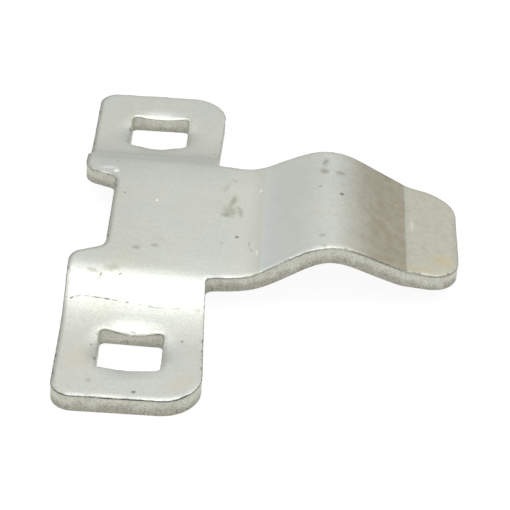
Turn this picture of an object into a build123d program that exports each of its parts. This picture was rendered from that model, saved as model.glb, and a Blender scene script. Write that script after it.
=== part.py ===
from build123d import *
import os
from math import atan2, cos, radians, sin, tan

# Stamped steel hold-down bracket: one piece of plate, blanked, pierced and formed.
# Two bolted ends lie flat. Between them the plate steps up into a bridge, and from the
# bridge a tapered tongue runs out, humps up and comes down again to a flat tab.
#
# Frame: the origin is midway between the two square holes, on the underside of the ends.
# +X points to the tongue, +Y runs along the row of holes, +Z is up. All lengths are in mm.

# Plate and bolted ends
PLATE = 3.75                # thickness of the plate
LENGTH = 104.9              # over both bolted ends, along Y
HOLE_SPACING = 76.2         # centre to centre, three inches
HOLE_SIDE = 11.8            # square neck of a 7/16 inch carriage bolt, with clearance
HOLE_CORNER = 0.7           # radius in the corners of a square hole
LIP_REACH = 9.2             # how far from a hole's centre the punch has drawn the surface down
LIP_DEPTH = 1.1             # how deep, at the middle of each side of a hole
BACK_MARGIN = 13.2          # hole centre to the back edge
FRONT_MARGIN_END = 13.8     # hole centre to the front edge, at the end of the part
FRONT_MARGIN_ROOT = 12.6    # the same beside the tongue
BACK_CORNER = 4.0           # corner radius, back edge
FRONT_CORNER = 7.4          # corner radius, front edge

# Notch in the back edge
NOTCH_DEPTH = 6.4
NOTCH_FLOOR = 24.4          # length of the notch's straight floor, corner to corner
NOTCH_MOUTH = 31.1          # the same at the back edge
NOTCH_CORNER = 1.5          # radius at the floor
NOTCH_SHOULDER = 2.4        # radius at the mouth

# Bridge: the raised middle, with a sloping flank at each side
BRIDGE_RISE = 4.7           # top of the bridge above the top of the ends, at the holes' line
BRIDGE_LEAN = 2.1           # degrees, the bridge runs down towards the tongue
BRIDGE_FOOT = 47.0          # crease to crease along Y
FLANK_ANGLE = 53.0          # degrees from level
CREASE_BEND = 0.9           # radius in the crease at the foot of a flank
RIDGE_BEND = 2.4            # radius over the ridge at the head of a flank
UNDER_RIDGE_BEND = 0.8      # radius under that ridge
RIDGE_MARGIN = 0.04         # least gap left between the ridge's rounding and the tongue's edge

# Tongue, seen from above
TONGUE_REACH = 60.5         # holes' line to the tip
TONGUE_SETBACK = 0.5        # its edge to the head of the flank, at the root
TONGUE_TIP = 27.8           # width at the tip
ROOT_CORNER = 1.2           # radius in the corner between tongue and end
TIP_CORNER = 6.9            # corner radius at the tip

# Tongue, seen from the side, along its top face
RAMP_X = 20.6               # where the rise starts
CREST_X = 35.2              # where rise and fall would meet
TAB_X = 50.6                # where the tab starts
RAMP_ANGLE = 30.2           # degrees up
FALL_ANGLE = 25.9           # degrees down
TAB_ANGLE = 13.1            # degrees down
RAMP_BEND = 10.1            # radius in the hollow at the foot of the ramp
CREST_BEND = 12.9           # radius over the crest
TAB_BEND = 4.0              # radius in the crease at the head of the tab

# Edges
EDGE_ROLL = 0.7             # rounding that blanking leaves along the upper edge

# Sorting edges and faces by their direction
ALONG_ANGLE = 25.0          # degrees, an edge this near to X runs along it
WALL_ANGLE = 0.5            # degrees, a face this near to upright is a wall
TOP_ANGLE = 70.0            # degrees, a face that leans less than this from level faces up

BEYOND = 8.0                # how far a cutting block stands clear of the plate


def slope_point(start, run, angle):
    """The point a level distance run on from start, going up at angle degrees."""
    return (start[0] + run, start[1] + run * tan(radians(angle)))


def flank_head(x):
    """Half the width of the bridge's flat top, ridge to ridge, at a place along X."""
    rise = BRIDGE_RISE - x * tan(radians(BRIDGE_LEAN))
    return BRIDGE_FOOT / 2 - rise / tan(radians(FLANK_ANGLE))


def tongue_half_width(x):
    """From the middle to the tongue's edge, at a place along X."""
    root = flank_head(FRONT_MARGIN_ROOT) - TONGUE_SETBACK
    taper = (root - TONGUE_TIP / 2) / (TONGUE_REACH - FRONT_MARGIN_ROOT)
    return root - taper * (x - FRONT_MARGIN_ROOT)


def tongue_line():
    """Corners of the top face in the XZ plane, from behind the notch to past the tip."""
    over_holes = (0.0, PLATE + BRIDGE_RISE)
    back = slope_point(over_holes, -BACK_MARGIN - BEYOND, -BRIDGE_LEAN)
    ramp = slope_point(over_holes, RAMP_X, -BRIDGE_LEAN)
    crest = slope_point(ramp, CREST_X - RAMP_X, RAMP_ANGLE)
    tab = slope_point(crest, TAB_X - CREST_X, -FALL_ANGLE)
    tip = slope_point(tab, TONGUE_REACH + BEYOND - TAB_X, -TAB_ANGLE)
    return [back, ramp, crest, tab, tip]


def lowered(line, depth):
    """The same bent line moved down by depth, square to each of its runs."""
    angles = [atan2(b[1] - a[1], b[0] - a[0]) for a, b in zip(line, line[1:])]
    before = [angles[0]] + angles
    after = angles + [angles[-1]]
    moved = []
    for (x, z), first, second in zip(line, before, after):
        middle = (first + second) / 2
        slant = depth / cos((second - first) / 2)
        moved.append((x + slant * sin(middle), z - slant * cos(middle)))
    return moved


def ramp_foot(line, bend):
    """Where the hollow at the foot of the ramp starts, along X."""
    turn = radians(RAMP_ANGLE + BRIDGE_LEAN)
    return line[1][0] - bend * tan(turn / 2) * cos(radians(BRIDGE_LEAN))


def block_below(line, radii):
    """Everything under a bent line in the XZ plane, wider than the tongue."""
    floor = -BEYOND
    with BuildPart() as block:
        with BuildSketch(Plane.XZ):
            with BuildLine():
                FilletPolyline(*line, radius=radii)
                Polyline(line[-1], (line[-1][0], floor), (line[0][0], floor), line[0])
            make_face()
        extrude(amount=LENGTH / 2 + BEYOND, both=True)
    return block.part


def stepped_block(foot, level, bend, end_x):
    """A ridge along X with sloping flanks, on a flat base whose top is at level."""
    far = LENGTH / 2 + BEYOND
    start_x = -BACK_MARGIN - BEYOND
    flank_top = slope_point((foot, level), -foot / 2, -FLANK_ANGLE)
    outline = [(-far, level), (-foot, level), (-flank_top[0], flank_top[1])]
    outline += [flank_top, (foot, level), (far, level)]
    with BuildPart() as block:
        with BuildSketch(Plane.YZ.offset(start_x)):
            with BuildLine():
                FilletPolyline(*outline, radius=[bend, 0, 0, bend])
                Polyline((far, level), (far, -BEYOND), (-far, -BEYOND), (-far, level))
            make_face()
        extrude(amount=end_x - start_x)
    return block.part


def tongue_beyond(x):
    """A tall block as wide as the tongue's root with its corners, from x onwards."""
    width = 2 * (tongue_half_width(FRONT_MARGIN_ROOT) + ROOT_CORNER)
    tall = 2 * LENGTH
    return Pos(x, 0, 0) * Box(tall, width, tall, align=(Align.MIN, Align.CENTER, Align.CENTER))


def formed_face(line, bends, foot, level, crease, ridge, bridge_end, tongue_start):
    """Everything below one face of the formed plate: ends and bridge, then the tongue."""
    side_view = block_below(line, bends)
    bridge = stepped_block(foot, level, crease, bridge_end) & side_view
    middle = level + BRIDGE_RISE / 2
    high = bridge.edges().filter_by(lambda edge: edge.center().Z > middle)
    ridges = high.filter_by(lambda edge: abs((edge % 0.5).X) > cos(radians(ALONG_ANGLE)))
    return fillet(ridges, ridge) + (side_view & tongue_beyond(tongue_start))


def formed_plate():
    """The plate with its steps, flanks and humped tongue, before its outline is cut."""
    half_flank = radians(FLANK_ANGLE) / 2
    upper = tongue_line()
    lower = lowered(upper, PLATE)
    upper_foot = ramp_foot(upper, RAMP_BEND)
    lower_foot = ramp_foot(lower, RAMP_BEND + PLATE)
    # The ridge's rounding runs out through the tongue's edge before the ramp starts.
    ridge_room = flank_head(upper_foot) - tongue_half_width(upper_foot)
    upper_face = formed_face(
        upper,
        [RAMP_BEND, CREST_BEND, TAB_BEND],
        BRIDGE_FOOT / 2,
        PLATE,
        CREASE_BEND,
        min(RIDGE_BEND, (ridge_room - RIDGE_MARGIN) / tan(half_flank)),
        upper_foot,
        upper_foot,
    )
    lower_face = formed_face(
        lower,
        [RAMP_BEND + PLATE, CREST_BEND - PLATE, TAB_BEND + PLATE],
        BRIDGE_FOOT / 2 - PLATE * tan(half_flank),
        0.0,
        CREASE_BEND + PLATE,
        UNDER_RIDGE_BEND,
        lower_foot,
        FRONT_MARGIN_ROOT,
    )
    return upper_face - lower_face


def outline_prism():
    """The blanked outline, as a tall prism."""
    half_end, back = LENGTH / 2, -BACK_MARGIN
    half = [
        (back + NOTCH_DEPTH, NOTCH_FLOOR / 2, NOTCH_CORNER),
        (back, NOTCH_MOUTH / 2, NOTCH_SHOULDER),
        (back, half_end, BACK_CORNER),
        (FRONT_MARGIN_END, half_end, FRONT_CORNER),
        (FRONT_MARGIN_ROOT, tongue_half_width(FRONT_MARGIN_ROOT), ROOT_CORNER),
        (TONGUE_REACH, TONGUE_TIP / 2, TIP_CORNER),
    ]
    corners = half + [(x, -y, radius) for x, y, radius in reversed(half)]
    with BuildPart() as prism:
        with BuildSketch():
            with BuildLine():
                FilletPolyline(
                    *[(x, y) for x, y, _ in corners],
                    radius=[radius for _, _, radius in corners],
                    close=True,
                )
            make_face()
        extrude(amount=LENGTH, both=True)
    return prism.part


def rolled(plate):
    """Rounds the upper edge all the way round the outline."""
    walls = plate.faces().filter_by(
        lambda face: abs(face.normal_at().Z) < sin(radians(WALL_ANGLE))
    )
    tops = plate.faces().filter_by(lambda face: face.normal_at().Z > cos(radians(TOP_ANGLE)))
    wall_edges = {edge for face in walls for edge in face.edges()}
    top_edges = {edge for face in tops for edge in face.edges()}
    return fillet(list(wall_edges & top_edges), EDGE_ROLL)


def square_hole():
    """A pierced hole and the dish that the punch has drawn round it, about the Z axis."""
    sides = RectangleRounded(HOLE_SIDE, HOLE_SIDE, HOLE_CORNER)
    through = extrude(sides, amount=2 * PLATE, both=True)
    rim = (LIP_REACH, PLATE)
    lip = (HOLE_SIDE / 2, PLATE - LIP_DEPTH)
    clear = PLATE + LIP_DEPTH
    with BuildPart() as dish:
        with BuildSketch(Plane.XZ):
            with BuildLine():
                TangentArc(rim, lip, tangent=(-1, 0))
                Polyline(lip, (0, lip[1]), (0, clear), (LIP_REACH, clear), rim)
            make_face()
        revolve(axis=Axis.Z)
    return through + dish.part


def bracket():
    plate = formed_plate() & outline_prism()
    plate = rolled(plate)
    for side in (-1, 1):
        plate -= Pos(0, side * HOLE_SPACING / 2, 0) * square_hole()
    plate.label = "bracket"
    return plate


os.makedirs("parts", exist_ok=True)
export_step(bracket(), "parts/bracket.step")
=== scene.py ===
import math
import random
from typing import NamedTuple

import bpy
import numpy as np
from bpy.props import FloatProperty, FloatVectorProperty, IntProperty, PointerProperty
from mathutils import Matrix, Vector
from mathutils.geometry import delaunay_2d_cdt
from mathutils.kdtree import KDTree


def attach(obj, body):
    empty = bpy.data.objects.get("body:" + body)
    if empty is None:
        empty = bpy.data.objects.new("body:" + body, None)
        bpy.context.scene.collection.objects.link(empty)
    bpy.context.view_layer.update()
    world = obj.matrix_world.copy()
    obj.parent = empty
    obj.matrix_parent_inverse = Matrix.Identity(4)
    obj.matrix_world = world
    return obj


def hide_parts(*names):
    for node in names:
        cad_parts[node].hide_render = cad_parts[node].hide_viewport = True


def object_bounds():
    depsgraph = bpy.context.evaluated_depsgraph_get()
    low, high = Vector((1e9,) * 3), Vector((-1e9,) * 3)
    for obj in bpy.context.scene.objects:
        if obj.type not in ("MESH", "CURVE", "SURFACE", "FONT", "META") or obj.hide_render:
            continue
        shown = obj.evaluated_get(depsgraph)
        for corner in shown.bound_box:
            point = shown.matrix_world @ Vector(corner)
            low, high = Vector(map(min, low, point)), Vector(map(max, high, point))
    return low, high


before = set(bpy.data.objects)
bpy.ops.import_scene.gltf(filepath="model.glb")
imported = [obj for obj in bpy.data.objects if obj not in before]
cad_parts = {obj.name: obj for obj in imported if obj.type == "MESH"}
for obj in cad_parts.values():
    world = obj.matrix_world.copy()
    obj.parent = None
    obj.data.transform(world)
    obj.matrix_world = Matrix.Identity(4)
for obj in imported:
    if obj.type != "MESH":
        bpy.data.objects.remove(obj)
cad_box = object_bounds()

bl_info = {
    "name": "Stamped Metal Bracket",
    "version": (1, 0, 0),
    "blender": (4, 5, 0),
    "location": "3D View > Sidebar > Bracket",
    "description": "Blanks, forms and finishes a stamped steel hold-down bracket",
    "category": "Add Mesh",
}

BODY = "root"
CAD_NODE = "bracket"
MM = 0.001


# ---------------------------------------------------------------- settings


def length(name, description, millimetres):
    """A length that the user sets, given here in millimetres."""
    return FloatProperty(
        name=name,
        description=description,
        default=millimetres * MM,
        precision=5,
        unit="LENGTH",
    )


def angle(name, description, degrees):
    """An angle that the user sets, given here in degrees."""
    return FloatProperty(
        name=name,
        description=description,
        default=math.radians(degrees),
        unit="ROTATION",
    )


def colour(name, description, red, green, blue):
    """A colour that the user sets, as light values from 0 to 1."""
    return FloatVectorProperty(
        name=name,
        description=description,
        default=(red, green, blue),
        min=0.0,
        max=1.0,
        size=3,
        subtype="COLOR",
    )


def share(name, description, value, most=1.0):
    """A plain number that the user sets, from 0 upwards."""
    return FloatProperty(
        name=name, description=description, default=value, min=0.0, max=most
    )


class BracketBlankSizes(bpy.types.PropertyGroup):
    """Sizes of the flat blank, before it is pressed."""

    plate: length("Plate", "Thickness of the plate", 3.75)
    end_to_end: length(
        "End to end", "Over both bolted ends", (cad_box[1].y - cad_box[0].y) / MM
    )
    back_margin: length("Back margin", "Holes to the back edge", -cad_box[0].x / MM)
    front_margin_end: length(
        "Front margin at the ends", "Holes to the front edge, at both ends", 13.8
    )
    front_margin_root: length(
        "Front margin at the root", "Holes to the front edge, beside the tongue", 12.6
    )
    back_corner: length("Back corner", "Corner radius at the back edge", 4.0)
    front_corner: length("Front corner", "Corner radius at the front edge", 7.4)
    notch_depth: length("Notch depth", "How far the notch cuts in", 6.4)
    notch_floor: length("Notch floor", "Length of the notch's floor", 24.4)
    notch_mouth: length("Notch mouth", "Length of the notch's mouth", 31.1)
    notch_skew: length("Notch skew", "How much nearer the middle its far mouth is", 1.2)
    notch_corner: length("Notch corner", "Radius at the notch's floor", 2.4)
    notch_shoulder: length("Notch shoulder", "Radius at the notch's mouth", 3.2)
    tongue_reach: length("Tongue reach", "Holes to the tip", cad_box[1].x / MM)
    tongue_root: length("Tongue root", "Width at the root", 39.6)
    tongue_tip: length("Tongue tip", "Width at the tip", 27.8)
    root_corner: length("Root corner", "Radius beside the root", 1.2)
    tip_corner: length("Tip corner", "Corner radius at the tip", 6.9)
    hole_spacing: length("Hole spacing", "Centre to centre", 76.2)
    hole_side: length("Hole side", "Side of a square hole", 11.8)
    hole_corner: length("Hole corner", "Radius in a hole's corners", 1.1)
    hole_skew: length("Hole skew", "How far the near hole is out of square", 0.4)
    roll_reach: length("Roll reach", "How far in the upper edge is drawn down", 1.3)
    roll_drop: length("Roll drop", "How far down it is drawn", 0.12)
    edge_step: length("Edge step", "Spacing of points along an edge", 0.33)
    top_step: length("Top step", "Spacing of points on the upper face", 0.62)
    under_step: length("Under step", "Spacing of points on the underside", 1.0)
    seed: IntProperty(name="Seed", description="Seed for the faces' points", default=7)


class BracketFormingSizes(bpy.types.PropertyGroup):
    """What the press does to the blank. Each one is an input of the forming nodes."""

    bridge_rise: length("Bridge Rise", "Height of the raised middle", 4.7)
    bridge_lean: angle("Bridge Lean", "The bridge runs down towards the tongue", 2.1)
    bridge_foot: length("Bridge Foot", "Half the width between the creases", 25.5)
    flank_angle: angle("Flank Angle", "Slope of the flanks", 53.0)
    flare: share("Flare", "How fast the flanks stand away beyond that", 1.1, 5.0)
    flare_start: length("Flare Start", "Where the flanks end, along X", 13.2)
    ridge_bend: length("Ridge Bend", "Radius over the ridges", 8.8)
    crease_bend: length("Crease Bend", "Radius in the creases", 8.0)
    ramp_x: length("Ramp X", "Where the ramp starts", 20.6)
    crest_x: length("Crest X", "Where the ramp and the fall meet", 35.2)
    tab_x: length("Tab X", "Where the tab starts", 50.6)
    ramp_angle: angle("Ramp Angle", "Slope of the ramp", 30.2)
    fall_angle: angle("Fall Angle", "Slope of the fall", 25.9)
    tab_angle: angle("Tab Angle", "Slope of the tab", 13.1)
    ramp_bend: length("Ramp Bend", "Radius at the foot of the ramp", 10.1)
    crest_bend: length("Crest Bend", "Radius over the crest", 12.9)
    tab_bend: length("Tab Bend", "Radius at the head of the tab", 4.0)
    lip_reach: length("Lip Reach", "How far the punch drew the face down", 9.8)
    lip_drop: length("Lip Drop", "How far down the middle of a lip is drawn", 1.1)
    sweep_height: length("Sweep Height", "Lift of an end beside its crease", 1.05)
    sweep_reach: length("Sweep Reach", "How far that lift fades out", 11.8)
    crown_drop: length("Crown Drop", "Fall of the bridge towards its ridges", 0.9)
    crown_start: length("Crown Start", "Where that fall starts, from the middle", 12.0)
    crown_end: length("Crown End", "Where it has faded along the tongue", 27.0)
    waviness: length("Waviness", "Unevenness of the faces", 0.05)
    lip_bumps: length("Lip Bumps", "Unevenness of the holes' lips", 0.16)
    burr: length("Burr", "Raggedness of the line under the rolled edge", 0.26)
    tear: length("Tear", "Roughness of the cut faces", 0.07)


class BracketFinish(bpy.types.PropertyGroup):
    """Colours and shine of the steel."""

    zinc: colour("Zinc", "Dull plating on the faces", 0.475, 0.486, 0.440)
    # Bluer plating on the ramp, painted lighter to offset the ramp's shade
    ramp_zinc: colour("Ramp zinc", "Bluer plating at the ramp", 0.475, 0.495, 0.462)
    cool_zinc: colour("Cool zinc", "Greyer clouds in the plating", 0.447, 0.468, 0.435)
    warm_zinc: colour("Warm zinc", "Yellower clouds in the plating", 0.485, 0.478, 0.415)
    tab_zinc: colour("Tab zinc", "Yellowed plating on the tab", 0.385, 0.37, 0.285)
    # Tarnish on the fall, with painted dark reflection of the surroundings in it
    tarnish: colour("Tarnish", "Brown bloom on the fall", 0.235, 0.198, 0.123)
    brown: colour("Brown", "Brown smudges", 0.225, 0.22, 0.165)
    rust: colour("Rust", "Orange stain at the tip", 0.46, 0.36, 0.20)
    dirt: colour("Dirt", "Dark specks and smudges", 0.10, 0.095, 0.08)
    # Also the colour of painted highlights at the back notch and along the ramp's root
    bare: colour("Bare metal", "Bright nicks in the plating", 0.85, 0.85, 0.82)
    # Painted shadow of the torn line under the rolled edge
    seam: colour("Seam", "Torn line under the rolled edge", 0.035, 0.033, 0.028)
    cut_steel: colour("Cut steel", "Smooth part of a cut face", 0.53, 0.535, 0.465)
    torn_steel: colour("Torn steel", "Rough part of a cut face", 0.29, 0.275, 0.22)
    grain_shade: colour("Grain shade", "Darkest tone of the grain", 0.40, 0.40, 0.37)
    # Darker tone towards the near end and at the back corner
    dulled: colour("Dulled", "Tone of the handled end and back", 0.935, 0.935, 0.945)
    metal: share("Metal", "How metallic the plating is", 0.88)
    cut_metal: share("Cut metal", "How metallic the cut faces are", 0.75)
    roughness: share("Roughness", "Roughness of the plating", 0.50)
    cut_roughness: share("Cut roughness", "Roughness of the cut faces", 0.52)


class BracketStageLook(bpy.types.PropertyGroup):
    """Floor, light and camera."""

    floor_colour: colour("Floor", "Colour of the floor", 0.95, 0.95, 0.95)
    floor_size: length("Floor size", "Side of the square floor", 6000.0)
    curtain_colour: colour("Curtain", "Colour of the low curtain", 0.22, 0.215, 0.20)
    curtain_radius: length("Curtain radius", "Middle to the curtain", 1500.0)
    curtain_height: length("Curtain height", "Height of the curtain", 330.0)
    sky: share("Sky", "Strength of the even light from all round", 0.85, 5.0)
    overhead: share("Overhead", "Power of the lamp above, in watts", 8.0, 100.0)
    lamp_colour: colour("Lamp colour", "Colour of that lamp", 0.955, 0.97, 1.0)
    lens: share("Lens", "Focal length in millimetres", 157.526, 1000.0)


# ---------------------------------------------------------------- node helpers


class Wire:
    """A value in a node tree. Arithmetic on it adds the nodes that work it out."""

    def __init__(self, tree, socket):
        self.tree = tree
        self.socket = socket

    def math(self, operation, *others):
        return calculate(self.tree, "ShaderNodeMath", operation, self, *others)

    def vector(self, operation, *others):
        return calculate(self.tree, "ShaderNodeVectorMath", operation, self, *others)

    def __add__(self, other):
        return self.math("ADD", other)

    def __sub__(self, other):
        return self.math("SUBTRACT", other)

    def __rsub__(self, other):
        return calculate(self.tree, "ShaderNodeMath", "SUBTRACT", other, self)

    def __mul__(self, other):
        return self.math("MULTIPLY", other)

    def __truediv__(self, other):
        return self.math("DIVIDE", other)

    def __rtruediv__(self, other):
        return calculate(self.tree, "ShaderNodeMath", "DIVIDE", other, self)

    __radd__ = __add__
    __rmul__ = __mul__


def connect(tree, value, entry):
    """Feeds a wire, a socket or a plain value into an input."""
    if isinstance(value, Wire):
        tree.links.new(value.socket, entry)
    elif isinstance(value, bpy.types.NodeSocket):
        tree.links.new(value, entry)
    elif hasattr(entry.default_value, "__len__"):
        found = list(value)
        if len(entry.default_value) == 4 and len(found) == 3:
            found.append(1.0)
        entry.default_value = found
    else:
        entry.default_value = value


def calculate(tree, kind, operation, *values):
    """A Math or Vector Math node, with its values in the order of its inputs."""
    node = add_node(tree, kind, {"operation": operation})
    for value, entry in zip(values, node.inputs):
        connect(tree, value, entry)
    return Wire(tree, node.outputs[0])


def add_node(tree, kind, settings=None, **entries):
    """A node with its settings, and its inputs by name with _ for a space."""
    node = tree.nodes.new(kind)
    for key, value in (settings or {}).items():
        setattr(node, key, value)
    for key, value in entries.items():
        connect(tree, value, node.inputs[key.replace("_", " ")])
    return node


def axes(place):
    """X, Y and Z of a vector."""
    node = add_node(place.tree, "ShaderNodeSeparateXYZ", Vector=place)
    return [Wire(place.tree, out) for out in node.outputs]


def soften(value, low, high):
    """0 at low, 1 at high and a smooth step between them. Either may be the greater."""
    node = add_node(value.tree, "ShaderNodeMapRange", {"interpolation_type": "SMOOTHSTEP"})
    for key, number in (("Value", value), ("From Min", low), ("From Max", high)):
        connect(value.tree, number, node.inputs[key])
    return Wire(value.tree, node.outputs[0])


def zone(place, start, full):
    """0 before start and 1 from full onwards, both given in millimetres."""
    return soften(place, start * MM, full * MM)


def noise(place, scale, detail=3.0, roughness=0.5, distortion=0.0):
    """Noise between 0 and 1, with a scale in features per metre."""
    node = add_node(
        place.tree,
        "ShaderNodeTexNoise",
        Vector=place,
        Scale=scale,
        Detail=detail,
        Roughness=roughness,
        Distortion=distortion,
    )
    return Wire(place.tree, node.outputs[0])


def uneven(place, scale, detail=3.0, roughness=0.5):
    """Noise about 0, between -0.5 and 0.5."""
    return noise(place, scale, detail, roughness) - 0.5


def stretched(place, x, y, z):
    """Coordinates stretched along X, Y and Z."""
    return place.vector("MULTIPLY", (x, y, z))


def attribute(tree, name, output="Fac"):
    """What the mesh stores under a name, for a material."""
    node = add_node(tree, "ShaderNodeAttribute", {"attribute_name": name})
    return Wire(tree, node.outputs[output])


def direct_rays(tree):
    """1 for rays that see a thing straight, mirrored or through glass, 0 for all others."""
    path = tree.nodes.new("ShaderNodeLightPath")
    seen, mirrored, through = (
        Wire(tree, path.outputs[name])
        for name in ("Is Camera Ray", "Is Glossy Ray", "Is Transmission Ray")
    )
    return seen.math("MAXIMUM", mirrored).math("MAXIMUM", through)


def arrange(tree, column=210, row=170):
    """Lays the nodes out from left to right in the order that values flow."""
    level = {node: 0 for node in tree.nodes}
    for _ in range(len(tree.nodes)):
        moved = False
        for link in tree.links:
            if level[link.to_node] <= level[link.from_node]:
                level[link.to_node] = level[link.from_node] + 1
                moved = True
        if not moved:
            break
    used = {}
    for node in tree.nodes:
        used[level[node]] = used.get(level[node], 0) + 1
        node.location = (level[node] * column, -used[level[node]] * row)


def new_group(name, kind, inputs, outputs):
    """An empty node group. Its inputs and outputs are given as {name: kind}."""
    tree = bpy.data.node_groups.new(name, kind)
    for in_out, sockets in (("INPUT", inputs), ("OUTPUT", outputs)):
        for label, socket in sockets.items():
            tree.interface.new_socket(
                label, in_out=in_out, socket_type="NodeSocket" + socket
            )
    start = tree.nodes.new("NodeGroupInput")
    return tree, {out.name: Wire(tree, out) for out in start.outputs if out.name}


def close_group(tree, **outputs):
    """Feeds the outputs of a group that is otherwise complete."""
    end = tree.nodes.new("NodeGroupOutput")
    for name, value in outputs.items():
        connect(tree, value, end.inputs[name])
    arrange(tree)
    return tree


def use_group(tree, group, **entries):
    """A group placed in a tree, as a dict of its outputs."""
    node = add_node(tree, "ShaderNodeGroup", {"node_tree": group}, **entries)
    return {out.name: Wire(tree, out) for out in node.outputs}


def add_object(name, data):
    """An object in the scene, made of the data."""
    made = bpy.data.objects.new(name, data)
    bpy.context.scene.collection.objects.link(made)
    return made


# ---------------------------------------------------------------- the blank


# How a sheet is filled, in shares of the spacing of its points
JITTER = 0.16  # how far a point may stray from its place in the grid
EDGE_GAP = 0.62  # least distance from a point to an edge
SLIVER = 0.001  # least height of a triangle

MERGED = 1e-9  # points nearer than this count as one, in metres
RIM_AT_SHEET = 0.6  # the rim's value where the sheets start
RIM_FADE = 6 * MM  # how far in from there it would grow by 1


class Ring(NamedTuple):
    """A ring of points along an edge: its place, and how strongly each trait acts there."""

    inset: float
    height: float
    burr: float = 0.0  # pushed out or in by the ragged line under the rolled edge
    tear: float = 0.0  # roughened as a cut face
    roll: float = 0.0  # part of the rolled outer edge
    lip: float = 0.0  # part of a hole's drawn lip
    rim: float = 0.0  # 0 at the edge, 1 well inside a face
    seam: float = 0.0  # the torn line itself


TRAITS = (*Ring._fields[2:], "depth")


def corner_arc(before, corner, after, step, fewest=6):
    """Points and outward directions round one corner, in at least so few parts."""
    x, y, radius = corner
    here = Vector((x, y))
    coming = (here - Vector(before[:2])).normalized()
    going = (Vector(after[:2]) - here).normalized()
    turn = math.atan2(coming.cross(going), coming.dot(going))
    reach = radius * math.tan(abs(turn) / 2)
    side = math.copysign(1.0, turn)
    centre = here - coming * reach + Vector((-coming.y, coming.x)) * radius * side
    first = Vector((coming.y, -coming.x))
    parts = max(fewest, round(radius * abs(turn) / step))
    outs = [Matrix.Rotation(turn * part / parts, 2) @ first for part in range(parts + 1)]
    return [(centre + out * radius * side, out) for out in outs]


def rounded_loop(corners, step):
    """Points and outward directions round a closed outline of (x, y, radius)."""
    pairs = zip(corners, corners[1:] + corners[:1])
    if sum(a[0] * b[1] - b[0] * a[1] for a, b in pairs) < 0:
        corners = corners[::-1]
    around = zip(corners[-1:] + corners[:-1], corners, corners[1:] + corners[:1])
    arcs = [corner_arc(*three, step) for three in around]
    loop = []
    for arc, following in zip(arcs, arcs[1:] + arcs[:1]):
        loop += arc
        (start, out), end = arc[-1], following[0][0]
        pieces = max(1, round((end - start).length / step))
        loop += [(start.lerp(end, piece / pieces), out) for piece in range(1, pieces)]
    points, directions = zip(*loop)
    return np.array(points), np.array(directions)


def inside(polygon, points):
    """Which points lie inside a closed polygon."""
    x, y = points[:, 0:1], points[:, 1:2]
    x0, y0 = polygon[:, 0], polygon[:, 1]
    x1, y1 = np.roll(x0, -1), np.roll(y0, -1)
    crosses = (y0 > y) != (y1 > y)
    with np.errstate(divide="ignore", invalid="ignore"):
        where = (x1 - x0) * (y - y0) / (y1 - y0) + x0
    return (np.sum(crosses & (x < where), axis=1) % 2) == 1


def on_sheet(outer, holes, points):
    """Which points lie inside the outer ring and outside its holes."""
    return inside(outer, points) & ~np.any([inside(hole, points) for hole in holes], axis=0)


def scattered_grid(low, high, step, draw):
    """Points in staggered rows, each a little off its place."""
    row_step = step * math.sqrt(3) / 2
    grid = []
    for row in range(int((high[1] - low[1]) / row_step) + 1):
        start = low[0] + step / 2 * (row % 2)
        for column in range(int((high[0] - low[0]) / step) + 1):
            x = start + (column + draw.uniform(-JITTER, JITTER)) * step
            y = low[1] + (row + draw.uniform(-JITTER, JITTER)) * row_step
            grid.append((x, y))
    return np.array(grid)


def fill_sheet(outer, holes, step, draw):
    """Fills a sheet between an outer ring and its holes.

    Gives the inner points, their distances to the rings, and anticlockwise triangles. The
    rings' points come first in the numbering, in the order given.
    """
    rings = [outer, *holes]
    edge_points = np.vstack(rings)
    tree = KDTree(len(edge_points))
    for index, (x, y) in enumerate(edge_points):
        tree.insert((x, y, 0), index)
    tree.balance()
    grid = scattered_grid(outer.min(0), outer.max(0), step, draw)
    gaps = np.array([tree.find((x, y, 0))[2] for x, y in grid])
    keep = on_sheet(outer, holes, grid) & (gaps > EDGE_GAP * step)
    grid, gaps = grid[keep], gaps[keep]
    everything = [Vector(point) for point in np.vstack([edge_points, grid])]
    edges, start = [], 0
    for ring in rings:
        size = len(ring)
        edges += [(start + k, start + (k + 1) % size) for k in range(size)]
        start += size
    made = delaunay_2d_cdt(everything, edges, [], 0, MERGED)
    points, triangles = np.array(made[0]), np.array(made[2])
    if len(points) != len(everything):
        raise RuntimeError("The sheet's points changed while it was filled")
    a, b, c = (points[triangles[:, index]] for index in range(3))
    longest = np.max([np.hypot(*(q - p).T) for p, q in ((a, b), (b, c), (c, a))], axis=0)
    doubled_area = (b - a)[:, 0] * (c - a)[:, 1] - (b - a)[:, 1] * (c - a)[:, 0]
    kept = on_sheet(outer, holes, (a + b + c) / 3)
    kept &= doubled_area > SLIVER * step * longest
    return grid, gaps, triangles[kept]


# Height in millimetres, tear and rim of the rings from a wall's foot to the underside
FOOT = ((0.10, 0.6, 0.0), (0.02, 0.2, 0.0), (0.0, 0.0, 0.2), (0.0, 0.0, 0.6))


def foot_rings(*insets):
    """The rings of a wall's foot, with their insets in millimetres."""
    return [
        Ring(inset * MM, height * MM, tear=tear, rim=rim)
        for inset, (height, tear, rim) in zip(insets, FOOT)
    ]


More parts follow.
